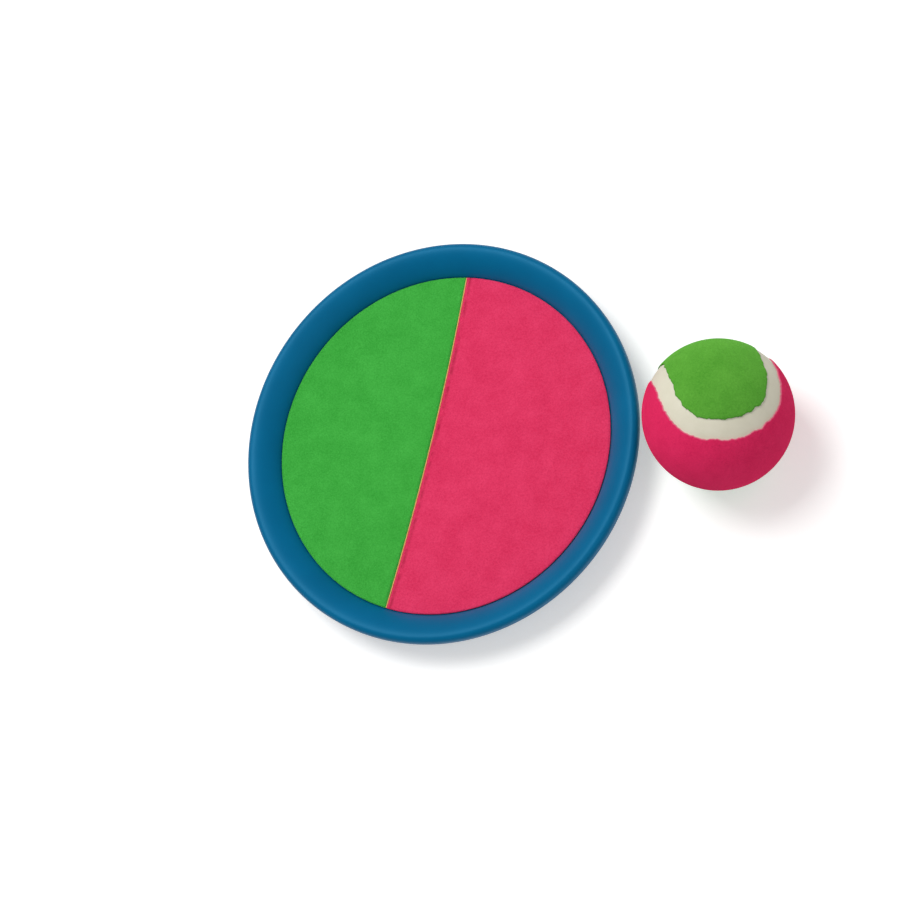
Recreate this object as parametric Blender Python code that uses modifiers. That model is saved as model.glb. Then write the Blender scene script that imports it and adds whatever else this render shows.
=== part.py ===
"""Toss and catch set: a round catch paddle with a two-colour cloth face, a raised
moulded rim and a hand strap behind it, and a ball covered by two felt panels.

The paddle lies face up on its strap and the ball stands beside it on +X.
Lengths are in metres, +Z is up and the floor is z = 0."""

import math

import bmesh
import bpy
from mathutils import Euler, Matrix, Vector

MM = 0.001

# Fits between pieces
TOUCH_GAP = 0.3 * MM
STRAP_SIDE_PLAY = 0.8 * MM

# Moulded paddle
PADDLE_RADIUS = 90.0 * MM
WALL = 2.0 * MM
BACK_HEIGHT = 8.8 * MM
CREST_RADIUS = 87.4 * MM
CREST_RISE = 9.0 * MM
LIP_DROP = 5.0 * MM
FACE_RADIUS = 75.4 * MM
RIM_STEPS = 80
SLOPE_FOOT = (2.7 * MM, 3.6 * MM)
SLOPE_HEAD = 3.6 * MM
SLOPE_STEPS = 6
SHOULDER_STEPS = 5
EDGE_ROUND = 0.5 * MM

# Cloth face
FACE_CLOTH = 1.0 * MM
SEAM_AZIMUTH = math.radians(78.7)
SEAM_SHIFT = 4.7 * MM
SEAM_BOW = 2.2 * MM
SEAM_STEPS = 12

# Strap bars behind the paddle
BAR_SPACING = 88.0 * MM
BAR_WIDTH = 6.0 * MM
BAR_DEPTH = 3.0 * MM
BAR_LEG = 5.0 * MM
BAR_ROUND = 1.4 * MM

# Hand strap
STRAP_WIDTH = 38.0 * MM
STRAP_THICKNESS = 1.8 * MM
STRAP_FOLD_END = 18.0 * MM
STRAP_RUN_END = 26.0 * MM
STRAP_TURN_STEPS = 8
STRAP_RISE_STEPS = 6

# Ball
BALL_RADIUS = 31.0 * MM
FELT = 0.8 * MM
BALL_SPACING = 126.7 * MM
SEAM_SWING = math.radians(43.4)
SEAM_LEAN = math.radians(12.0)
BAND_HALF_ANGLE = math.radians(7.6)
CUT_WOBBLE = 0.22 * MM
CUT_WAVES = ((23, 1.0, 0.4), (37, 0.8, 1.9), (51, 0.6, 0.0))
BALL_TURN = (math.radians(102.5), math.radians(26.0), math.radians(-156.0))
CORE_SEGMENTS = 40
PANEL_COLUMNS = 120
PANEL_ROWS = 5
LOBE_ANGLE = math.radians(91.0)
SPINE_MERGE = 0.25 * MM

# Derived positions
PADDLE_X = -(BALL_SPACING + BALL_RADIUS - PADDLE_RADIUS) / 2
BALL_X = PADDLE_X + BALL_SPACING
SEAT_HEIGHT = BACK_HEIGHT + WALL
SEAT_RADIUS = FACE_RADIUS + TOUCH_GAP
BAR_BOTTOM = STRAP_THICKNESS + TOUCH_GAP
BAR_MIDDLE = BAR_BOTTOM + BAR_DEPTH / 2
CORE_RADIUS = BALL_RADIUS - FELT - TOUCH_GAP
SQUARE = math.sqrt(0.5)


def clear_scene():
    for obj in list(bpy.data.objects):
        bpy.data.objects.remove(obj, do_unlink=True)
    for collection in list(bpy.data.collections):
        bpy.data.collections.remove(collection)


def add_collection(name):
    collection = bpy.data.collections.new(name)
    bpy.context.scene.collection.children.link(collection)
    return collection


def add_material(name, colour, roughness):
    material = bpy.data.materials.new(name)
    material.use_nodes = True
    shader = material.node_tree.nodes["Principled BSDF"]
    shader.inputs["Base Color"].default_value = (*colour, 1.0)
    shader.inputs["Roughness"].default_value = roughness
    material.diffuse_color = (*colour, 1.0)
    return material


def add_object(name, bm, collection, material=None):
    mesh = bpy.data.meshes.new(name)
    bm.to_mesh(mesh)
    bm.free()
    obj = bpy.data.objects.new(name, mesh)
    collection.objects.link(obj)
    if material:
        mesh.materials.append(material)
    return obj


def add_solidify(obj, thickness, offset):
    solidify = obj.modifiers.new("thickness", "SOLIDIFY")
    solidify.thickness = thickness
    solidify.offset = offset
    solidify.use_even_offset = True
    return solidify


def add_bevel(obj, width, segments, angle):
    bevel = obj.modifiers.new("rounding", "BEVEL")
    bevel.width = width
    bevel.segments = segments
    bevel.limit_method = "ANGLE"
    bevel.angle_limit = math.radians(angle)
    bevel.use_clamp_overlap = True
    return bevel


def add_boolean(obj, other, operation):
    boolean = obj.modifiers.new(other.name, "BOOLEAN")
    boolean.operation = operation
    boolean.solver = "EXACT"
    boolean.object = other
    return boolean


def shade_round(obj, angle):
    """Smooth shading with edges over the angle kept sharp."""
    for polygon in obj.data.polygons:
        polygon.use_smooth = True
    obj.data.set_sharp_from_angle(angle=math.radians(angle))


def add_box(name, low, high, collection):
    bm = bmesh.new()
    size = Vector(high) - Vector(low)
    middle = (Vector(high) + Vector(low)) / 2
    place = Matrix.Translation(middle) @ Matrix.Diagonal((*size, 1.0))
    bmesh.ops.create_cube(bm, size=1.0, matrix=place)
    return add_object(name, bm, collection)


def make_cutter(obj):
    obj.hide_render = True
    obj.display_type = "WIRE"


def bezier_points(start, handle_a, handle_b, end, steps):
    """Points after the start, up to and with the end."""
    points = []
    for index in range(1, steps + 1):
        t = index / steps
        s = 1 - t
        points.append(
            start * s**3 + handle_a * 3 * s * s * t + handle_b * 3 * s * t * t + end * t**3
        )
    return points


def rim_profile():
    """Upper skin of the paddle from the middle to the lip, as (radius, height)."""
    foot = Vector((SEAT_RADIUS, SEAT_HEIGHT))
    crest = Vector((CREST_RADIUS, SEAT_HEIGHT + CREST_RISE))
    steep = foot + Vector(SLOPE_FOOT)
    level = crest - Vector((SLOPE_HEAD, 0.0))
    shoulder = PADDLE_RADIUS - CREST_RADIUS
    profile = [Vector((0.0, SEAT_HEIGHT)), foot]
    profile += bezier_points(foot, steep, level, crest, SLOPE_STEPS)
    for index in range(1, SHOULDER_STEPS + 1):
        turn = math.radians(90) * (1 - index / SHOULDER_STEPS)
        profile.append(
            Vector(
                (
                    CREST_RADIUS + shoulder * math.cos(turn),
                    crest.y - shoulder + shoulder * math.sin(turn),
                )
            )
        )
    profile.append(Vector((PADDLE_RADIUS, crest.y - LIP_DROP)))
    return profile


def build_bar(name, y, collection):
    """Bar on two legs that the strap is folded round, sunk into the back."""
    window_half = STRAP_WIDTH / 2 + STRAP_SIDE_PLAY
    outer_half = window_half + BAR_LEG
    bar = add_box(
        name,
        (PADDLE_X - outer_half, y - BAR_WIDTH / 2, BAR_BOTTOM),
        (PADDLE_X + outer_half, y + BAR_WIDTH / 2, BACK_HEIGHT + WALL / 2),
        collection,
    )
    window = add_box(
        name + "_window",
        (PADDLE_X - window_half, y - BAR_WIDTH, BAR_BOTTOM + BAR_DEPTH),
        (PADDLE_X + window_half, y + BAR_WIDTH, BACK_HEIGHT + WALL * 2),
        collection,
    )
    make_cutter(window)
    make_cutter(bar)
    add_boolean(bar, window, "DIFFERENCE")
    add_bevel(bar, BAR_ROUND, 3, 60)
    return bar


def build_shell(collection, cutters, material):
    """Moulded dish: flat plate, raised rim rolled over into a thin lip, strap bars."""
    bm = bmesh.new()
    last = None
    for radius, height in rim_profile():
        vert = bm.verts.new((radius, 0.0, height))
        if last:
            bm.edges.new((last, vert))
        last = vert
    shell = add_object("paddle_shell", bm, collection, material)
    shell.location.x = PADDLE_X
    screw = shell.modifiers.new("turned", "SCREW")
    screw.axis = "Z"
    screw.steps = RIM_STEPS
    screw.render_steps = RIM_STEPS
    screw.use_merge_vertices = True
    screw.merge_threshold = 0.00001
    screw.use_smooth_shade = True
    add_solidify(shell, WALL, -1.0)
    add_bevel(shell, EDGE_ROUND, 2, 50)
    for name, y in (("bar_front", -BAR_SPACING / 2), ("bar_back", BAR_SPACING / 2)):
        add_boolean(shell, build_bar(name, y, cutters), "UNION")
    return shell


def seam_points(shift):
    """The bowed line across the face, from its lower end up, moved by shift."""
    along = Vector((math.cos(SEAM_AZIMUTH), math.sin(SEAM_AZIMUTH)))
    across = Vector((-along.y, along.x))
    points = []
    for index in range(SEAM_STEPS + 1):
        part = 2 * index / SEAM_STEPS - 1
        offset = SEAM_SHIFT + SEAM_BOW * part * part + shift
        reach = math.sqrt(FACE_RADIUS**2 - offset**2)
        points.append(along * (part * reach) + across * offset)
    return points


def build_face(name, side, collection, material):
    """Cloth segment of the face; side is +1 to the left of the seam and -1 to the right."""
    seam = seam_points(side * TOUCH_GAP / 2)
    start = math.atan2(seam[-1].y, seam[-1].x)
    end = math.atan2(seam[0].y, seam[0].x)
    sweep = (end - start) % (2 * math.pi)
    if side < 0:
        sweep -= 2 * math.pi
    steps = round(RIM_STEPS * abs(sweep) / (2 * math.pi))
    outline = list(seam)
    for index in range(1, steps):
        turn = start + sweep * index / steps
        outline.append(Vector((math.cos(turn), math.sin(turn))) * FACE_RADIUS)
    bm = bmesh.new()
    bottom = SEAT_HEIGHT + TOUCH_GAP
    verts = [bm.verts.new((PADDLE_X + p.x, p.y, bottom)) for p in outline]
    face = bm.faces.new(verts)
    face.normal_update()
    if face.normal.z > 0:
        face.normal_flip()
    sides = bmesh.ops.extrude_face_region(bm, geom=[face], use_keep_orig=True)
    top = [item for item in sides["geom"] if isinstance(item, bmesh.types.BMVert)]
    bmesh.ops.translate(bm, verts=top, vec=(0.0, 0.0, FACE_CLOTH))
    bmesh.ops.recalc_face_normals(bm, faces=bm.faces)
    cloth = add_object(name, bm, collection, material)
    shade_round(cloth, 30)
    return cloth


def strap_path():
    """Middle line of the webbing in (y, z), from one sewn end to the other."""
    turn_radius = BAR_DEPTH / 2 + TOUCH_GAP + STRAP_THICKNESS / 2
    low = BAR_MIDDLE - turn_radius
    high = BAR_MIDDLE + turn_radius
    run = STRAP_THICKNESS * 1.5 + TOUCH_GAP
    bar_y = BAR_SPACING / 2
    turn_y = bar_y + (BAR_WIDTH - BAR_DEPTH) / 2
    inner_y = bar_y - BAR_WIDTH / 2
    half = [Vector((STRAP_FOLD_END, low)), Vector((inner_y, low))]
    for index in range(STRAP_TURN_STEPS + 1):
        turn = math.radians(-90 + 180 * index / STRAP_TURN_STEPS)
        half.append(
            Vector(
                (
                    turn_y + turn_radius * math.cos(turn),
                    BAR_MIDDLE + turn_radius * math.sin(turn),
                )
            )
        )
    half.append(Vector((inner_y, high)))
    for index in range(1, STRAP_RISE_STEPS + 1):
        part = index / STRAP_RISE_STEPS
        ease = part * part * (3 - 2 * part)
        y = inner_y + (STRAP_RUN_END - inner_y) * part
        half.append(Vector((y, high + (run - high) * ease)))
    other = [Vector((-point.x, point.y)) for point in reversed(half)]
    return half + other


def build_strap(collection, material):
    """Webbing band: lies flat under the back and is folded round both bars."""
    bm = bmesh.new()
    left = PADDLE_X - STRAP_WIDTH / 2
    last = None
    for y, z in strap_path():
        vert = bm.verts.new((left, y, z))
        if last:
            bm.edges.new((last, vert))
        last = vert
    wide = bmesh.ops.extrude_edge_only(bm, edges=list(bm.edges))
    moved = [item for item in wide["geom"] if isinstance(item, bmesh.types.BMVert)]
    bmesh.ops.translate(bm, verts=moved, vec=(STRAP_WIDTH, 0.0, 0.0))
    strap = add_object("hand_strap", bm, collection, material)
    add_solidify(strap, STRAP_THICKNESS, 0.0)
    shade_round(strap, 40)
    return strap


def seam_curve(t):
    """Closed seam line on the unit ball and its unit direction there."""
    height = SEAM_SWING * math.sin(2 * t)
    turn = t - SEAM_LEAN * math.sin(4 * t)
    climb = 2 * SEAM_SWING * math.cos(2 * t)
    travel = 1 - 4 * SEAM_LEAN * math.cos(4 * t)
    out = Vector((math.cos(turn), math.sin(turn), 0.0))
    side = Vector((-math.sin(turn), math.cos(turn), 0.0))
    up = Vector((0.0, 0.0, 1.0))
    point = out * math.cos(height) + up * math.sin(height)
    direction = (up * math.cos(height) - out * math.sin(height)) * climb
    direction += side * math.cos(height) * travel
    return point, direction.normalized()


def panel_edge(t):
    """Point of the felt's cut edge beside the seam line, slightly uneven."""
    point, direction = seam_curve(t)
    inward = point.cross(direction)
    uneven = sum(size * math.sin(waves * t + lead) for waves, size, lead in CUT_WAVES)
    angle = BAND_HALF_ANGLE + uneven * CUT_WOBBLE / BALL_RADIUS
    return point * math.cos(angle) + inward * math.sin(angle)


def panel_spine(t):
    """Point of the panel's middle line that the edge point at t faces."""
    turn = LOBE_ANGLE * math.cos(t + math.pi / 4)
    return Vector((math.sin(turn) * SQUARE, -math.sin(turn) * SQUARE, math.cos(turn)))


def build_panel(name, turn_over, collection, material):
    """Round-ended felt panel: rows run in from the cut edge to the middle line."""
    centre = Vector((BALL_X, 0.0, BALL_RADIUS))
    place = Matrix.Translation(centre) @ Euler(BALL_TURN).to_matrix().to_4x4()
    if turn_over:
        place = place @ Matrix.Rotation(math.pi, 4, "X")
    bm = bmesh.new()
    rows = []
    for column in range(PANEL_COLUMNS):
        t = -math.pi / 4 + 2 * math.pi * column / PANEL_COLUMNS
        edge = panel_edge(t)
        spine = panel_spine(t)
        row = []
        for step in range(PANEL_ROWS + 1):
            point = edge.slerp(spine, step / PANEL_ROWS)
            row.append(bm.verts.new(place @ (point * BALL_RADIUS)))
        rows.append(row)
    for here, after in zip(rows, rows[1:] + rows[:1]):
        for step in range(PANEL_ROWS):
            bm.faces.new((here[step], here[step + 1], after[step + 1], after[step]))
    bmesh.ops.remove_doubles(bm, verts=bm.verts, dist=SPINE_MERGE)
    bm.normal_update()
    for face in bm.faces:
        if face.normal.dot(face.calc_center_median() - centre) < 0:
            face.normal_flip()
    panel = add_object(name, bm, collection, material)
    add_solidify(panel, FELT, -1.0)
    shade_round(panel, 40)
    return panel


def build_core(collection, material):
    """Rubber ball under the felt, seen as the band between the panels."""
    bm = bmesh.new()
    bmesh.ops.create_uvsphere(
        bm,
        u_segments=CORE_SEGMENTS,
        v_segments=CORE_SEGMENTS // 2,
        radius=CORE_RADIUS,
        matrix=Matrix.Translation((BALL_X, 0.0, BALL_RADIUS)),
    )
    core = add_object("ball_core", bm, collection, material)
    shade_round(core, 40)
    return core


def main():
    clear_scene()
    toy = add_collection("toss_and_catch_set")
    cutters = add_collection("cutters")
    blue = add_material("blue_plastic", (0.005, 0.085, 0.2), 0.4)
    green = add_material("green_cloth", (0.035, 0.36, 0.04), 0.9)
    pink = add_material("pink_cloth", (0.62, 0.03, 0.09), 0.9)
    webbing = add_material("strap_webbing", (0.02, 0.02, 0.022), 0.85)
    rubber = add_material("cream_rubber", (0.58, 0.55, 0.44), 0.6)
    green_felt = add_material("green_felt", (0.07, 0.3, 0.03), 0.95)
    pink_felt = add_material("pink_felt", (0.6, 0.015, 0.08), 0.95)
    build_shell(toy, cutters, blue)
    build_face("green_face", 1, toy, green)
    build_face("pink_face", -1, toy, pink)
    build_strap(toy, webbing)
    build_core(toy, rubber)
    build_panel("ball_green_panel", False, toy, green_felt)
    build_panel("ball_pink_panel", True, toy, pink_felt)


main()
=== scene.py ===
import math

import bpy
import numpy as np
from mathutils import Matrix, Vector


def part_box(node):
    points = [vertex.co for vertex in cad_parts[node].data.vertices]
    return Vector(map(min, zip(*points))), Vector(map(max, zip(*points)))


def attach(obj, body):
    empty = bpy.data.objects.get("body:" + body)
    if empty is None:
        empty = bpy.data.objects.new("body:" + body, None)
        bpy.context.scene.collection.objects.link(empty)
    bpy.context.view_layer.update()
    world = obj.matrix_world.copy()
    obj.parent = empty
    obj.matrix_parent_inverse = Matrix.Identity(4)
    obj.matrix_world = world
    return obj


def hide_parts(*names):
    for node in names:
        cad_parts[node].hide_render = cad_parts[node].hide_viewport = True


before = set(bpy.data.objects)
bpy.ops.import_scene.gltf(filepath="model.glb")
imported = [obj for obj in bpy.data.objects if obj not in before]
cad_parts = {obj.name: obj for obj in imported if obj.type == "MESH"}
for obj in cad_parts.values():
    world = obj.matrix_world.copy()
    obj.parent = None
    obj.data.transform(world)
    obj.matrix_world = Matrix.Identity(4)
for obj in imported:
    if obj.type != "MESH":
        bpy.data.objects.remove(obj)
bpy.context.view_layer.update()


# Paddle moulding: one dish-shaped injection moulding in blue polypropylene. A flat plate
# carries the cloth, the rim rises round it and rolls over into a thin open lip, and two
# bars for the hand strap stand on the back.
MM = 0.001
TOUCH_GAP = 0.3 * MM
shell_low, shell_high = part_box("paddle_shell")
cloth_low, cloth_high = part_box("green_face")
PADDLE_X = (shell_low.x + shell_high.x) / 2
PADDLE_RADIUS = (shell_high.x - shell_low.x) / 2
CREST_HEIGHT = shell_high.z
BAR_BOTTOM = shell_low.z
SEAT_HEIGHT = cloth_low.z - TOUCH_GAP
WALL = 2.0 * MM
SEAT_RADIUS = 76.4 * MM
CREST_RADIUS = 87.4 * MM
SLOPE_FOOT = Vector((0.2 * MM, 3.0 * MM))
SLOPE_HEAD = Vector((3.6 * MM, 0.0))
SLOPE_RINGS = 16
SHOULDER_RINGS = 12
LIP_DROP = 5.0 * MM
LIP_ROUND = 0.6 * MM
RIM_STEPS = 256


def deselect():
    """Leaves edit mode and selects nothing."""
    if bpy.context.object and bpy.context.object.mode != "OBJECT":
        bpy.ops.object.mode_set(mode="OBJECT")
    bpy.ops.object.select_all(action="DESELECT")


def apply_modifier(piece, kind, **settings):
    """Adds a modifier with its settings and applies it."""
    deselect()
    piece.select_set(True)
    bpy.context.view_layer.objects.active = piece
    modifier = piece.modifiers.new(kind.lower(), kind)
    for name, value in settings.items():
        setattr(modifier, name, value)
    bpy.ops.object.modifier_apply(modifier=modifier.name)


def round_edges(piece, width, segments, angle):
    """Rounds the edges that turn by more than the angle in degrees."""
    apply_modifier(
        piece,
        "BEVEL",
        width=width,
        segments=segments,
        limit_method="ANGLE",
        angle_limit=math.radians(angle),
    )


def face_up(piece):
    """Turns a sheet over if its faces look down."""
    if sum(p.normal.z * p.area for p in piece.data.polygons) < 0:
        piece.data.flip_normals()


def rim_rings():
    """Radius and height of each ring of the rim, from the cloth seat out to the lip."""
    foot = Vector((SEAT_RADIUS, SEAT_HEIGHT))
    crest = Vector((CREST_RADIUS, CREST_HEIGHT))
    steep = foot + SLOPE_FOOT
    level = crest - SLOPE_HEAD
    rings = []
    for index in range(1, SLOPE_RINGS + 1):
        t = index / SLOPE_RINGS
        s = 1 - t
        rings.append(foot * s**3 + steep * 3 * s * s * t + level * 3 * s * t * t + crest * t**3)
    shoulder = PADDLE_RADIUS - CREST_RADIUS
    for index in range(1, SHOULDER_RINGS + 1):
        turn = math.radians(90 - 90 * index / SHOULDER_RINGS)
        rings.append(crest + shoulder * Vector((math.cos(turn), math.sin(turn) - 1)))
    rings.append(Vector((PADDLE_RADIUS, CREST_HEIGHT - LIP_DROP)))
    return rings


deselect()
bpy.ops.mesh.primitive_circle_add(
    vertices=RIM_STEPS, radius=SEAT_RADIUS, fill_type="NGON", location=(PADDLE_X, 0, SEAT_HEIGHT)
)
moulding = bpy.context.object
bpy.ops.object.mode_set(mode="EDIT")
bpy.ops.mesh.select_mode(type="EDGE")
bpy.ops.mesh.select_all(action="SELECT")
bpy.ops.mesh.region_to_loop()
radius, height = SEAT_RADIUS, SEAT_HEIGHT
for ring in rim_rings():
    bpy.ops.mesh.extrude_edges_move(TRANSFORM_OT_translate={"value": (0, 0, ring.y - height)})
    grow = ring.x / radius
    bpy.ops.transform.resize(value=(grow, grow, 1), center_override=(PADDLE_X, 0, ring.y))
    radius, height = ring
bpy.ops.mesh.select_all(action="SELECT")
bpy.ops.mesh.normals_make_consistent(inside=False)
bpy.ops.object.mode_set(mode="OBJECT")
face_up(moulding)
apply_modifier(moulding, "SOLIDIFY", thickness=WALL, offset=-1.0, use_even_offset=True)
round_edges(moulding, LIP_ROUND, segments=4, angle=50)

BAR_SPACING = 88.0 * MM
BAR_WIDTH = 6.0 * MM
BAR_DEPTH = 3.0 * MM
BAR_LEG = 5.0 * MM
BAR_ROUND = 1.4 * MM
PLATE_SKIN = 0.3 * MM
STRAP_WIDTH = 38.0 * MM
STRAP_PLAY = 0.8 * MM


def add_block(width, depth, y, low, high):
    """Plain block under the paddle, from its low to its high face."""
    bpy.ops.mesh.primitive_cube_add(size=1, location=(PADDLE_X, y, (low + high) / 2))
    block = bpy.context.object
    block.scale = (width, depth, high - low)
    bpy.ops.object.transform_apply(location=True, rotation=True, scale=True)
    return block


# Each bar is a block with a window cut through it for the strap. Its top ends inside the
# plate, a skin's thickness below the cloth's seat.
window_width = 2 * (STRAP_WIDTH / 2 + STRAP_PLAY)
bar_width = window_width + 2 * BAR_LEG
for bar_y in (-BAR_SPACING / 2, BAR_SPACING / 2):
    deselect()
    bar = add_block(bar_width, BAR_WIDTH, bar_y, BAR_BOTTOM, SEAT_HEIGHT - PLATE_SKIN)
    window = add_block(
        window_width, 2 * BAR_WIDTH, bar_y, BAR_BOTTOM + BAR_DEPTH, SEAT_HEIGHT + WALL
    )
    apply_modifier(bar, "BOOLEAN", operation="DIFFERENCE", solver="EXACT", object=window)
    round_edges(bar, BAR_ROUND, segments=6, angle=60)
    apply_modifier(moulding, "BOOLEAN", operation="UNION", solver="EXACT", object=bar)
    bpy.data.objects.remove(window)
    bpy.data.objects.remove(bar)


def linear(code):
    """sRGB hex colour as linear red, green and blue."""
    parts = [int(code[i : i + 2], 16) / 255 for i in (1, 3, 5)]
    return tuple(p / 12.92 if p <= 0.04045 else ((p + 0.055) / 1.055) ** 2.4 for p in parts)


def add_node(tree, kind, settings=None, links=None):
    """Adds a node, gives its settings and socket values, and joins its inputs."""
    node = tree.nodes.new(kind)
    for name, value in (settings or {}).items():
        if name in node.inputs:
            node.inputs[name].default_value = value
        else:
            setattr(node, name, value)
    for name, output in (links or {}).items():
        tree.links.new(output, node.inputs[name])
    return node


def new_material(name, settings=None):
    """Material with its Principled shader joined to the output."""
    material = bpy.data.materials.new(name)
    material.use_nodes = True
    tree = material.node_tree
    tree.nodes.clear()
    shader = add_node(tree, "ShaderNodeBsdfPrincipled", settings)
    add_node(tree, "ShaderNodeOutputMaterial", links={"Surface": shader.outputs["BSDF"]})
    return material, tree, shader


def noise(tree, place, size, detail, roughness=0.5, distortion=0.0):
    """Noise from 0 to 1 with lumps of the given size in metres."""
    settings = {
        "Scale": 1 / size,
        "Detail": detail,
        "Roughness": roughness,
        "Distortion": distortion,
    }
    links = {"Vector": place.outputs["Object"]}
    return add_node(tree, "ShaderNodeTexNoise", settings, links).outputs["Fac"]


def rescale(tree, value, source=(0.0, 1.0), target=(0.0, 1.0)):
    """Takes a value from one range to another, and holds it there."""
    settings = {
        "From Min": source[0],
        "From Max": source[1],
        "To Min": target[0],
        "To Max": target[1],
    }
    return add_node(tree, "ShaderNodeMapRange", settings, {"Value": value}).outputs["Result"]


def two_tone(tree, share, deep, light):
    """Blend of two sRGB hex colours, deep where the share is 0 and light where it is 1."""
    settings = {"data_type": "RGBA", "A": (*linear(deep), 1), "B": (*linear(light), 1)}
    return add_node(tree, "ShaderNodeMix", settings, {"Factor": share}).outputs["Result"]


def add_bump(tree, shader, height, strength, depth):
    """Fine relief in the shader's normal, depth in metres."""
    settings = {"Strength": strength, "Distance": depth}
    relief = add_node(tree, "ShaderNodeBump", settings, {"Height": height})
    tree.links.new(relief.outputs["Normal"], shader.inputs["Normal"])


def finish_piece(piece, name, material, angle):
    """Names a modelled piece, puts its place in its mesh, shades it smooth up to the angle
    in degrees, dresses it, and lets it ride."""
    deselect()
    piece.select_set(True)
    bpy.context.view_layer.objects.active = piece
    bpy.ops.object.transform_apply(location=True, rotation=True, scale=True)
    bpy.ops.object.shade_smooth_by_angle(angle=math.radians(angle))
    piece.name = name
    piece.data.name = name
    if material:
        piece.data.materials.clear()
        piece.data.materials.append(material)
    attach(piece, "root")


# Injection-moulded polypropylene: satin, lightly grained by the tool, with faint flow
# clouds in the colour and the soft wide gloss of a waxy plastic, tinted by its blue.
polypropylene, tree, shader = new_material(
    "moulded_polypropylene_blue",
    {"Specular IOR Level": 0.36, "Specular Tint": (0.2, 0.68, 1.0, 1)},
)
place = add_node(tree, "ShaderNodeTexCoord")
clouds = noise(tree, place, size=22 * MM, detail=3)
blue = two_tone(tree, clouds, "#005e89", "#006d9c")
tree.links.new(blue, shader.inputs["Base Color"])
grain = noise(tree, place, size=0.5 * MM, detail=2)
satin = rescale(tree, grain, target=(0.42, 0.52))
tree.links.new(satin, shader.inputs["Roughness"])
add_bump(tree, shader, grain, strength=0.12, depth=0.05 * MM)
finish_piece(moulding, "paddle_moulding", polypropylene, angle=35)
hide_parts("paddle_shell")


# Cloth face: two segments of brushed nylon loop cloth, about 1 mm thick with the glue, cut
# along one slightly bowed line left of the middle and bonded flat inside the rim.
FACE_RADIUS = 76.2 * MM
SEAM_AZIMUTH = math.radians(78.7)
SEAM_SHIFT = 4.7 * MM
SEAM_BOW = 2.2 * MM
SEAM_GAP = 0.5 * MM
CLOTH = cloth_high.z - cloth_low.z
GLUE = 0.25 * MM
PILE_ROUND = 0.35 * MM
PILE_EDGE = 0.8 * MM
TIP_WIDTH = 0.5 * MM
TIP_POWER = 40
CLOTH_COLUMNS = 150
CLOTH_LINES = 60
COLUMN_CROWDING = 0.8
LINE_CROWDING = 0.85
BRUSHED_SHARE = 0.45
# Tint that darkens the cloth into painted shade along the crease beside the seam.
CREASE_SHADE_TINT = (0.5, 0.34, 0.36, 1)
along = Vector((math.cos(SEAM_AZIMUTH), math.sin(SEAM_AZIMUTH)))
across = Vector((-along.y, along.x))


def seam_offset(part):
    """How far left of the middle the seam lies, part running from -1 to 1 along it."""
    return SEAM_SHIFT + SEAM_BOW * part * part


SEAM_REACH = math.sqrt(FACE_RADIUS**2 - seam_offset(1.0) ** 2)


def write_places(piece, name, places):
    """UV layer that holds the place of each vertex on its flat sheet, in millimetres."""
    layer = piece.data.uv_layers.new(name=name)
    for loop in piece.data.loops:
        layer.data[loop.index].uv = places[loop.vertex_index]


def cloth_segment(side):
    """Segment of the face, with its area; side is 1 left of the seam and -1 right of it.

    A square grid is laid between the seam and the circle, closer towards both tips and
    both edges, and its pile is rounded off at the cut edge."""
    deselect()
    bpy.ops.mesh.primitive_grid_add(
        x_subdivisions=CLOTH_COLUMNS, y_subdivisions=CLOTH_LINES, size=2
    )
    piece = bpy.context.object
    places = {}
    for vert in piece.data.vertices:
        crowded = math.sin(math.pi / 2 * vert.co.x)
        part = COLUMN_CROWDING * crowded + (1 - COLUMN_CROWDING) * vert.co.x
        share = (vert.co.y + 1) / 2
        crowded = (1 - math.cos(math.pi * share)) / 2
        spread = LINE_CROWDING * crowded + (1 - LINE_CROWDING) * share
        offset = seam_offset(part) + side * SEAM_GAP / 2
        reach = SEAM_REACH * part
        outer = side * math.sqrt(max(FACE_RADIUS**2 - reach**2, 0.0))
        if side * (outer - offset) < TIP_WIDTH:
            outer = offset + side * TIP_WIDTH
        level = offset + (outer - offset) * spread
        arc = math.sqrt(FACE_RADIUS**2 - level**2) - SEAM_REACH
        reach += math.copysign(max(arc, 0.0) * abs(part) ** TIP_POWER, part)
        edge = max(0.0, min(abs(level - offset), FACE_RADIUS - math.hypot(level, reach)))
        drop = PILE_ROUND * max(0.0, 1 - edge / PILE_EDGE) ** 2
        spot = along * reach + across * level
        vert.co = (PADDLE_X + spot.x, spot.y, cloth_high.z - drop)
        places[vert.index] = (reach / MM, (level - offset) / MM)
    write_places(piece, "seam_mm", places)
    face_up(piece)
    area = sum(p.area for p in piece.data.polygons)
    apply_modifier(piece, "SOLIDIFY", thickness=CLOTH - GLUE, offset=-1.0)
    return piece, area


def calculate(tree, operation, *values):
    """Math node over numbers and sockets."""
    node = add_node(tree, "ShaderNodeMath", {"operation": operation})
    for index, value in enumerate(values):
        if isinstance(value, bpy.types.NodeSocket):
            tree.links.new(value, node.inputs[index])
        else:
            node.inputs[index].default_value = value
    return node.outputs["Value"]


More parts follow.
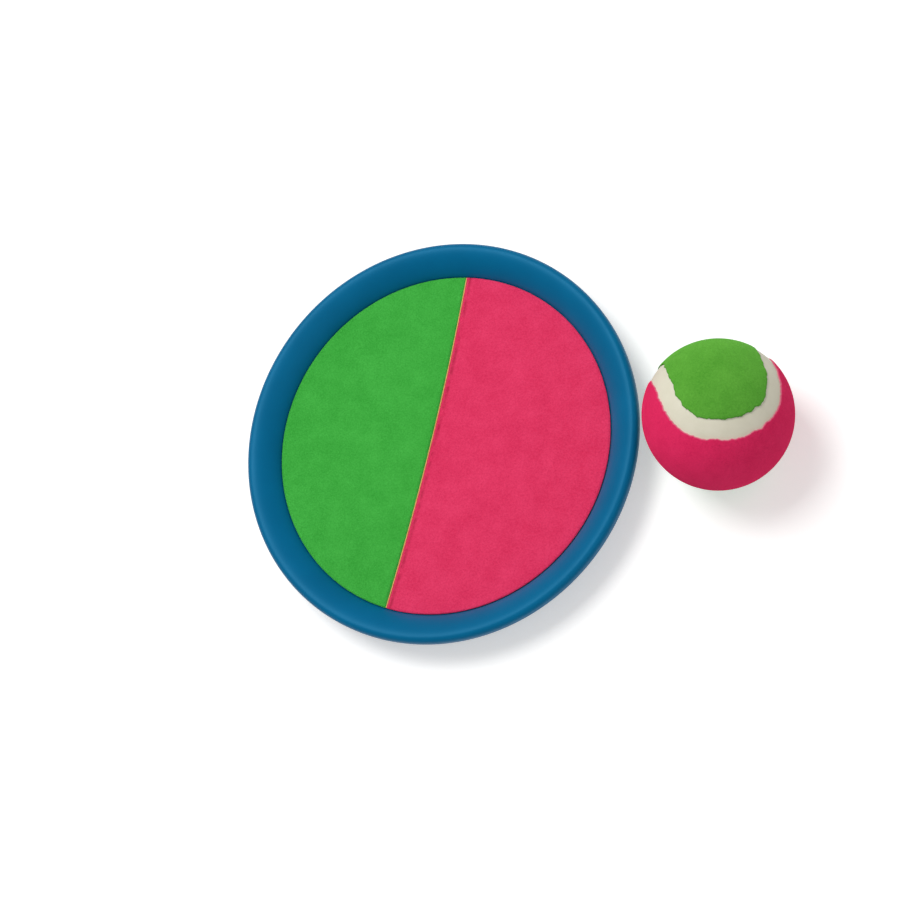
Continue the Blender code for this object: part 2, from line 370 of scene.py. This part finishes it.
def loop_cloth(name, deep, light, crease_at, crease_shade_depth):
    """Brushed nylon loop cloth: matt, soft at the edge of the light, its fine loops felted
    into small tufts, with painted shade along one pressed crease that comes and goes beside
    the seam, crease_at millimetres from it. Loops of 0.3 mm are drawn at 0.7 mm so that they still
    show."""
    material, tree, shader = new_material(
        name,
        {
            "Roughness": 0.95,
            "Specular IOR Level": 0.15,
            "Sheen Weight": 0.25,
            "Sheen Roughness": 0.5,
            "Sheen Tint": (*linear(light), 1),
        },
    )
    place = add_node(tree, "ShaderNodeTexCoord")
    tufts = noise(tree, place, size=0.7 * MM, detail=4, roughness=0.65)
    brushed = noise(tree, place, size=9 * MM, detail=3)
    both = calculate(tree, "MULTIPLY_ADD", brushed, BRUSHED_SHARE, tufts)
    tone = rescale(tree, both, source=(0.45, 1.0))
    colour = two_tone(tree, tone, deep, light)
    seam_place = add_node(tree, "ShaderNodeUVMap", {"uv_map": "seam_mm"})
    split = add_node(tree, "ShaderNodeSeparateXYZ", links={"Vector": seam_place.outputs["UV"]})
    # Painted shade: along a broken line crease_at millimetres from the seam, the colour is
    # multiplied darker by the crease tint for the shade in the crease.
    off_crease = calculate(tree, "SUBTRACT", split.outputs["Y"], crease_at)
    distance = calculate(tree, "ABSOLUTE", off_crease)
    pressed = rescale(tree, distance, source=(0.2, 1.2), target=(1.0, 0.0))
    patches = noise(tree, place, size=4.5 * MM, detail=3)
    broken = rescale(tree, patches, source=(0.36, 0.6), target=(0.0, crease_shade_depth))
    crease = calculate(tree, "MULTIPLY", pressed, broken)
    shaded = add_node(
        tree,
        "ShaderNodeMix",
        {"data_type": "RGBA", "blend_type": "MULTIPLY", "B": CREASE_SHADE_TINT},
        {"Factor": crease, "A": colour},
    )
    tree.links.new(shaded.outputs["Result"], shader.inputs["Base Color"])
    add_bump(tree, shader, tufts, strength=0.9, depth=0.5 * MM)
    return material


# The last two numbers of each row place the line of painted shade beside the seam and set how dark
# it is.
for name, side, node, slot, deep, light, crease_at, crease_shade_depth in (
    ("green_loop_cloth", 1, "green_face", "green_cloth", "#32a134", "#4dc04d", 0.4, 0.35),
    ("pink_loop_cloth", -1, "pink_face", "pink_cloth", "#dd2957", "#f94674", -1.6, 0.65),
):
    cloth, area = cloth_segment(side)
    material = loop_cloth(name, deep, light, crease_at, crease_shade_depth)
    finish_piece(cloth, name, material, angle=40)
    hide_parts(node)


# Line of orange foam between the two cloths: the cut edge of the thin foam that backs
# the loop cloth, standing in the gap a little below the pile.
FOAM_STEPS = 120
FOAM_REACH = 0.998 * SEAM_REACH
FOAM_HALF = SEAM_GAP / 2 - 0.02 * MM
FOAM_BELOW = 0.12 * MM
FOAM_CROWN = 0.05 * MM
FOAM_DEPTH = CLOTH - 0.3 * MM
deselect()
bpy.ops.mesh.primitive_grid_add(x_subdivisions=FOAM_STEPS, y_subdivisions=2, size=2)
backing = bpy.context.object
for vert in backing.data.vertices:
    level = seam_offset(vert.co.x) + vert.co.y * FOAM_HALF
    spot = along * (FOAM_REACH * vert.co.x) + across * level
    crown = FOAM_CROWN * (1 - vert.co.y**2)
    vert.co = (PADDLE_X + spot.x, spot.y, cloth_high.z - FOAM_BELOW + crown)
face_up(backing)
apply_modifier(backing, "SOLIDIFY", thickness=FOAM_DEPTH, offset=-1.0)
# Cut polyurethane foam: matt and open-celled, orange with paler torn cells.
foam, tree, shader = new_material("cut_foam_orange", {"Roughness": 0.9})
place = add_node(tree, "ShaderNodeTexCoord")
cells = noise(tree, place, size=0.9 * MM, detail=3)
orange = two_tone(tree, cells, "#d2742c", "#f6c488")
tree.links.new(orange, shader.inputs["Base Color"])
finish_piece(backing, "seam_foam_edge", foam, angle=30)


# Hand strap: one length of black polypropylene webbing that lies flat under the back,
# goes round both bars and is folded back on itself and sewn.
WEBBING = 1.8 * MM
WEBBING_ROUND = 0.5 * MM
FOLD_END = 18.0 * MM
RUN_END = 26.0 * MM
FLAT_STEPS = 12
TURN_STEPS = 24
SLOPE_STEPS = 16
STRAP_LINES = 16
bar_middle = BAR_BOTTOM + BAR_DEPTH / 2
turn_radius = BAR_DEPTH / 2 + TOUCH_GAP + WEBBING / 2
run_height = WEBBING * 1.5 + TOUCH_GAP
turn_y = BAR_SPACING / 2 + (BAR_WIDTH - BAR_DEPTH) / 2
inner_y = BAR_SPACING / 2 - BAR_WIDTH / 2


def strap_line():
    """Middle line of the webbing in y and z, from one sewn end to the other: the folded
    end, the turn round the bar, the slope down, and the run along the middle."""
    low, high = bar_middle - turn_radius, bar_middle + turn_radius
    fold = inner_y - FOLD_END
    half = [(FOLD_END + fold * i / FLAT_STEPS, low) for i in range(FLAT_STEPS)]
    half.append((inner_y, low))
    for index in range(TURN_STEPS + 1):
        turn = math.radians(180 * index / TURN_STEPS - 90)
        half.append(
            (turn_y + turn_radius * math.cos(turn), bar_middle + turn_radius * math.sin(turn))
        )
    half.append((inner_y, high))
    for index in range(1, SLOPE_STEPS + 1):
        part = index / SLOPE_STEPS
        ease = part * part * (3 - 2 * part)
        half.append((inner_y + (RUN_END - inner_y) * part, high + (run_height - high) * ease))
    run = [(RUN_END * (1 - i / FLAT_STEPS), run_height) for i in range(1, 2 * FLAT_STEPS)]
    return half + run + [(-y, z) for y, z in reversed(half)]


line = strap_line()
deselect()
bpy.ops.mesh.primitive_grid_add(
    x_subdivisions=len(line) - 1, y_subdivisions=STRAP_LINES, size=2
)
strap = bpy.context.object
lengths = [0.0]
for (y0, z0), (y1, z1) in zip(line, line[1:]):
    lengths.append(lengths[-1] + math.hypot(y1 - y0, z1 - z0))
places = {}
for vert in strap.data.vertices:
    step = round((vert.co.x + 1) / 2 * (len(line) - 1))
    y, z = line[step]
    x = vert.co.y * (STRAP_WIDTH / 2)
    places[vert.index] = (x / MM, lengths[step] / MM)
    vert.co = (PADDLE_X + x, y, z)
write_places(strap, "webbing_mm", places)
apply_modifier(strap, "SOLIDIFY", thickness=WEBBING, offset=0.0, use_even_offset=True)
round_edges(strap, WEBBING_ROUND, segments=3, angle=60)
# Woven polypropylene webbing: ribs of 1.3 mm across the tape and picks of 0.8 mm along it
# in a plain weave, dull; its black is painted lighter on the yarn crowns, a painted highlight,
# and darker between the yarns, painted shade, over a bump of the same weave.
RIB_PAIR_MM = 2.6
PICK_PAIR_MM = 1.6
webbing, tree, shader = new_material("woven_webbing_black", {"Roughness": 0.6})
place = add_node(tree, "ShaderNodeUVMap", {"uv_map": "webbing_mm"})
split = add_node(tree, "ShaderNodeSeparateXYZ", links={"Vector": place.outputs["UV"]})
ribs = calculate(tree, "MULTIPLY", split.outputs["X"], 2 * math.pi / RIB_PAIR_MM)
picks = calculate(tree, "MULTIPLY", split.outputs["Y"], 2 * math.pi / PICK_PAIR_MM)
rib_wave = calculate(tree, "SINE", ribs)
pick_wave = calculate(tree, "SINE", picks)
weave = calculate(tree, "MULTIPLY", rib_wave, pick_wave)
yarn = rescale(tree, weave, source=(-1.0, 1.0))
# Painted highlight on the yarn crowns and painted shade between the yarns.
black = two_tone(tree, yarn, "#151517", "#303134")
tree.links.new(black, shader.inputs["Base Color"])
add_bump(tree, shader, yarn, strength=0.8, depth=0.3 * MM)
finish_piece(strap, "strap_webbing_band", webbing, angle=40)
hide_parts("hand_strap")


# Stitching of the strap: a box of lockstitch through both layers near each folded end,
# in bonded polyester thread, each stitch a short round-ended bead sunk in the weave.
STITCH = 2.6 * MM
STITCH_FILL = 0.8
STITCH_FLATNESS = 0.55
STITCH_HEIGHT = 0.07 * MM
THREAD = 0.45 * MM
BOX_NEAR = FOLD_END + 3 * MM
BOX_FAR = FOLD_END + 18 * MM
BOX_HALF = STRAP_WIDTH / 2 - 4 * MM
deselect()
bpy.ops.mesh.primitive_uv_sphere_add(segments=10, ring_count=6, radius=THREAD / 2)
bead = bpy.context.object
bpy.ops.object.mode_set(mode="EDIT")
bpy.ops.mesh.select_all(action="SELECT")
bpy.ops.transform.resize(value=(STITCH * STITCH_FILL / THREAD, 1, STITCH_FLATNESS))
bpy.ops.object.mode_set(mode="OBJECT")
stitches = []
corners = [(-BOX_HALF, BOX_NEAR), (BOX_HALF, BOX_NEAR), (BOX_HALF, BOX_FAR), (-BOX_HALF, BOX_FAR)]
diagonals = [(corners[0], corners[2]), (corners[1], corners[3])]
rows = list(zip(corners, corners[1:] + corners[:1])) + diagonals
for end in (1, -1):
    for start, stop in rows:
        start, stop = Vector(start), Vector(stop)
        count = round((stop - start).length / STITCH)
        turn = math.atan2((stop - start).y * end, (stop - start).x)
        for index in range(count):
            spot = start.lerp(stop, (index + 0.5) / count)
            shift = Matrix.Translation((PADDLE_X + spot.x, spot.y * end, STITCH_HEIGHT))
            copy = bead.copy()
            copy.data = bead.data.copy()
            copy.data.transform(shift @ Matrix.Rotation(turn, 4, "Z"))
            bpy.context.scene.collection.objects.link(copy)
            stitches.append(copy)
bpy.data.objects.remove(bead)
deselect()
for copy in stitches:
    copy.select_set(True)
bpy.context.view_layer.objects.active = stitches[0]
bpy.ops.object.join()
sewing = bpy.context.object
# Bonded polyester thread: round, twisted and slightly shiny; the twist is drawn as light and dark
# grey bands, painted shade in its grooves.
thread, tree, shader = new_material("polyester_thread_grey", {"Roughness": 0.45})
place = add_node(tree, "ShaderNodeTexCoord")
twist = add_node(
    tree, "ShaderNodeTexWave", {"Scale": 1 / (1.2 * MM)}, {"Vector": place.outputs["Object"]}
)
# Painted shade: the grey turns darker in bands along the thread for the grooves of the twist.
grey = two_tone(tree, twist.outputs["Fac"], "#3d3e42", "#5a5b60")
tree.links.new(grey, shader.inputs["Base Color"])
finish_piece(sewing, "strap_stitching", thread, angle=60)


# Rubber ball: a thin-walled cream rubber ball, left bare in one waving band between the
# two felt panels that are glued on it.
ball_low, ball_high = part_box("ball_core")
BALL_CENTRE = (ball_low + ball_high) / 2
COVER = 1.1 * MM
BALL_RADIUS = (ball_high.x - ball_low.x) / 2 + COVER
FELT = 0.5 * MM
FELT_GLUE = 0.05 * MM
deselect()
bpy.ops.mesh.primitive_uv_sphere_add(
    segments=160, ring_count=80, radius=BALL_RADIUS - FELT - FELT_GLUE, location=BALL_CENTRE
)
ball = bpy.context.object
# Moulded natural rubber: dense and matt, cream with faint darker handling marks and a
# fine dusty bloom.
rubber, tree, shader = new_material("moulded_rubber_cream", {"Roughness": 0.62, "IOR": 1.52})
place = add_node(tree, "ShaderNodeTexCoord")
marks = noise(tree, place, size=7 * MM, detail=5, roughness=0.6)
cream = two_tone(tree, marks, "#ddd8c0", "#eee9d6")
tree.links.new(cream, shader.inputs["Base Color"])
bloom = noise(tree, place, size=0.6 * MM, detail=3)
add_bump(tree, shader, bloom, strength=0.25, depth=0.1 * MM)
finish_piece(ball, "rubber_ball", rubber, angle=60)
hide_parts("ball_core")


# Felt panels: two round-ended panels of short-napped felt, cut with scissors so that their
# edges run in short uneven snips, and glued round the ball with the band left between.
SEAM_SWING = math.radians(43.4)
SEAM_LEAN = math.radians(12.0)
BAND_HALF = math.radians(7.6)
BALL_TURN = (
    Matrix.Rotation(math.radians(-156.0), 3, "Z")
    @ Matrix.Rotation(math.radians(26.0), 3, "Y")
    @ Matrix.Rotation(math.radians(102.5), 3, "X")
)
BAND_POINTS = 2400
SNIPS = 92
SNIP_DEPTH = 0.52 * MM
SNIP_JITTER = 0.42
FRAY_DEPTH = 0.28 * MM
FRAY_STEP = 6
TRIM_SLACK = 0.28 * MM
EDGE_WIDTH = 0.7 * MM
EDGE_DROP = 0.16 * MM
SEARCH_PARTS = 40
WORN_SHARE = 0.5


def band_line(count):
    """Points of the band's middle line on the unit ball, and the way to the green panel."""
    t = np.linspace(0, 2 * np.pi, count, endpoint=False)
    height = SEAM_SWING * np.sin(2 * t)
    turn = t - SEAM_LEAN * np.sin(4 * t)
    level = np.cos(height)
    point = np.stack([level * np.cos(turn), level * np.sin(turn), np.sin(height)], 1)
    way = np.roll(point, -1, 0) - np.roll(point, 1, 0)
    way /= np.linalg.norm(way, axis=1)[:, None]
    return point, np.cross(point, way)


def cut_edge(count, seed):
    """Angle from the band's middle line to the cut edge, all round: snips and fray."""
    chance = np.random.default_rng(seed)
    jitter = chance.uniform(-SNIP_JITTER, SNIP_JITTER, SNIPS)
    corners = np.sort((np.arange(SNIPS) + jitter) % SNIPS)
    depths = chance.uniform(-1, 1, SNIPS) * SNIP_DEPTH
    around = np.arange(count) / count * SNIPS
    snips = np.interp(around, corners, depths, period=SNIPS)
    threads = chance.uniform(-1, 1, count // FRAY_STEP)
    spots = np.arange(count // FRAY_STEP) * FRAY_STEP
    fray = np.interp(np.arange(count), spots, threads, period=count)
    return BAND_HALF + (snips + fray * FRAY_DEPTH) / BALL_RADIUS


def felt_panel(side, seed):
    """Panel on one side of the band, with its area: a fine ball trimmed back to the cut
    edge, where its surface is rounded off. side is 1 for green and -1 for pink."""
    turn = np.array(BALL_TURN)
    middle, inward = band_line(BAND_POINTS)
    inward = inward * side
    edge = cut_edge(BAND_POINTS, seed)
    deselect()
    bpy.ops.mesh.primitive_ico_sphere_add(subdivisions=7, radius=BALL_RADIUS, location=BALL_CENTRE)
    piece = bpy.context.object
    mesh = piece.data
    spots = np.empty(len(mesh.vertices) * 3)
    mesh.vertices.foreach_get("co", spots)
    unit = spots.reshape(-1, 3) / BALL_RADIUS @ turn
    parts = np.array_split(unit, SEARCH_PARTS)
    nearest = np.concatenate([(part @ middle.T).argmax(1) for part in parts])
    height = np.arcsin(np.clip((unit * inward[nearest]).sum(1), -1, 1))
    beyond = height - edge[nearest]
    keep = beyond > -TRIM_SLACK / BALL_RADIUS
    bpy.ops.object.mode_set(mode="EDIT")
    bpy.ops.mesh.select_mode(type="VERT")
    bpy.ops.mesh.select_all(action="DESELECT")
    bpy.ops.object.mode_set(mode="OBJECT")
    mesh.vertices.foreach_set("select", ~keep)
    bpy.ops.object.mode_set(mode="EDIT")
    bpy.ops.mesh.delete(type="VERT")
    bpy.ops.mesh.select_all(action="SELECT")
    bpy.ops.mesh.region_to_loop()
    bpy.ops.object.mode_set(mode="OBJECT")
    rim = np.empty(len(mesh.vertices), bool)
    mesh.vertices.foreach_get("select", rim)
    unit, nearest, beyond = unit[keep], nearest[keep], beyond[keep]
    moved = rim | (beyond < 0)
    angle = edge[nearest][:, None]
    on_edge = middle[nearest] * np.cos(angle) + inward[nearest] * np.sin(angle)
    unit = np.where(moved[:, None], on_edge, unit)
    from_edge = np.maximum(beyond, 0) * BALL_RADIUS
    round_off = np.clip(1 - from_edge / EDGE_WIDTH, 0, 1) ** 2
    reach = BALL_RADIUS - EDGE_DROP * np.where(moved, 1, round_off)
    mesh.vertices.foreach_set("co", (unit @ turn.T * reach[:, None]).ravel())
    layer = mesh.attributes.new("edge_mm", "FLOAT", "POINT")
    layer.data.foreach_set("value", np.where(moved, 0.0, from_edge / MM))
    area = sum(p.area for p in mesh.polygons)
    apply_modifier(piece, "SOLIDIFY", thickness=FELT, offset=-1.0, material_offset_rim=1)
    return piece, area


def napped_felt(name, deep, light, edge_colour):
    """Needled polyester felt with a short nap: no gloss, a soft light edge, and tufts of
    matted fibre. Fibres of 0.03 mm are drawn as tufts of 0.8 mm so that they still show."""
    material, tree, shader = new_material(
        name,
        {
            "Roughness": 0.95,
            "Specular IOR Level": 0.15,
            "Sheen Weight": 0.9,
            "Sheen Roughness": 0.75,
            "Sheen Tint": (*linear(light), 1),
        },
    )
    place = add_node(tree, "ShaderNodeTexCoord")
    tufts = noise(tree, place, size=0.8 * MM, detail=5, roughness=0.7, distortion=0.6)
    worn = noise(tree, place, size=8 * MM, detail=2)
    both = calculate(tree, "MULTIPLY_ADD", worn, WORN_SHARE, tufts)
    tone = rescale(tree, both, source=(0.4, 1.1))
    colour = two_tone(tree, tone, deep, light)
    # Within 0.5 mm of the cut, the top's colour turns towards edge_colour: darker than the face on
    # the green panel and paler on the pink one.
    from_edge = add_node(tree, "ShaderNodeAttribute", {"attribute_name": "edge_mm"})
    cut = rescale(tree, from_edge.outputs["Fac"], source=(0.1, 0.5), target=(0.85, 0.0))
    trimmed = add_node(
        tree,
        "ShaderNodeMix",
        {"data_type": "RGBA", "B": (*linear(edge_colour), 1)},
        {"Factor": cut, "A": colour},
    )
    tree.links.new(trimmed.outputs["Result"], shader.inputs["Base Color"])
    add_bump(tree, shader, tufts, strength=0.8, depth=0.5 * MM)
    return material


for name, side, seed, node, nap, cut_nap in (
    (
        "green_felt_panel",
        1,
        11,
        "ball_green_panel",
        ("#3a8a1e", "#6ab742", "#38741f"),
        ("#5d9a3c", "#9cc77a", "#9cc77a"),
    ),
    (
        "pink_felt_panel",
        -1,
        23,
        "ball_pink_panel",
        ("#da134f", "#fd3670", "#eb93ab"),
        ("#cf6f8d", "#eeb3c2", "#eeb3c2"),
    ),
):
    panel, area = felt_panel(side, seed)
    finish_piece(panel, name, None, angle=50)
    panel.data.materials.append(napped_felt(name, *nap))
    # The cut walls take a second, paler felt.
    panel.data.materials.append(napped_felt(name + "_cut_edge", *cut_nap))
    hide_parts(node)


# Studio: a wide sheet of white paper for the floor, one large soft lamp over the upper
# left, a weaker one over the lower right, and an even white surround.
FLOOR_SIZE = 8
deselect()
bpy.ops.mesh.primitive_plane_add(size=FLOOR_SIZE, location=(0, 0, 0))
floor = bpy.context.object
floor.name = "studio_floor"
# Matt white paper. It glows to the camera and in reflections only, and more with the
# distance in metres from the set, so that it runs out to pure white.
paper, tree, shader = new_material(
    "studio_paper_white",
    {
        "Base Color": (*linear("#f2f2f1"), 1),
        "Roughness": 0.9,
        "Specular IOR Level": 0.0,
        "Emission Color": (1, 1, 1, 1),
    },
)
path = add_node(tree, "ShaderNodeLightPath")
seen = calculate(tree, "MAXIMUM", path.outputs["Is Camera Ray"], path.outputs["Is Glossy Ray"])
seen = calculate(tree, "MAXIMUM", seen, path.outputs["Is Transmission Ray"])
place = add_node(tree, "ShaderNodeTexCoord")
far = add_node(
    tree, "ShaderNodeVectorMath", {"operation": "LENGTH"}, {"Vector": place.outputs["Object"]}
)
fade = rescale(tree, far.outputs["Value"], source=(0.45, 1.3), target=(0.4, 1.0))
glow = calculate(tree, "MULTIPLY", seen, fade)
tree.links.new(glow, shader.inputs["Emission Strength"])
floor.data.materials.append(paper)

# The surround is white to the camera and lights the set more weakly.
world = bpy.data.worlds.new("studio_surround")
bpy.context.scene.world = world
world.use_nodes = True
tree = world.node_tree
tree.nodes.clear()
path = add_node(tree, "ShaderNodeLightPath")
strength = rescale(tree, path.outputs["Is Camera Ray"], target=(0.3, 1.0))
surround = add_node(
    tree, "ShaderNodeBackground", {"Color": (1, 1, 1, 1)}, {"Strength": strength}
)
add_node(tree, "ShaderNodeOutputWorld", links={"Surface": surround.outputs["Background"]})


def add_lamp(name, spot, size, power):
    """Square area lamp that looks at the middle of the set."""
    data = bpy.data.lights.new(name, "AREA")
    data.size = size
    data.energy = power
    lamp = bpy.data.objects.new(name, data)
    bpy.context.scene.collection.objects.link(lamp)
    lamp.location = spot
    lamp.rotation_euler = Vector(spot).to_track_quat("Z", "Y").to_euler()


add_lamp("key_lamp", spot=(-0.36, 0.4, 1.2), size=0.7, power=11.6)
add_lamp("fill_lamp", spot=(0.7, -0.5, 1.1), size=1.0, power=2.2)


# Camera: looks down on the set from the front right, turned so that the ball lies level
# with the paddle's middle.
FIELD_OF_VIEW = math.radians(25.0)
AZIMUTH = math.radians(51.64)
ELEVATION = math.radians(64.55)
ROLL = math.radians(-51.64)
DISTANCE = 874.2 * MM
AIM = Vector((PADDLE_X + 7.15 * MM, -6.08 * MM, 20.0 * MM))
camera_data = bpy.data.cameras.new("photo_camera")
camera_data.angle = FIELD_OF_VIEW
camera = bpy.data.objects.new("photo_camera", camera_data)
bpy.context.scene.collection.objects.link(camera)
back = Vector(
    (
        math.sin(AZIMUTH) * math.cos(ELEVATION),
        -math.cos(AZIMUTH) * math.cos(ELEVATION),
        math.sin(ELEVATION),
    )
)
camera.location = AIM + back * DISTANCE
camera.rotation_euler = (
    back.to_track_quat("Z", "Y").to_matrix() @ Matrix.Rotation(ROLL, 3, "Z")
).to_euler()
bpy.context.scene.camera = camera
bpy.context.scene.view_settings.view_transform = "Standard"
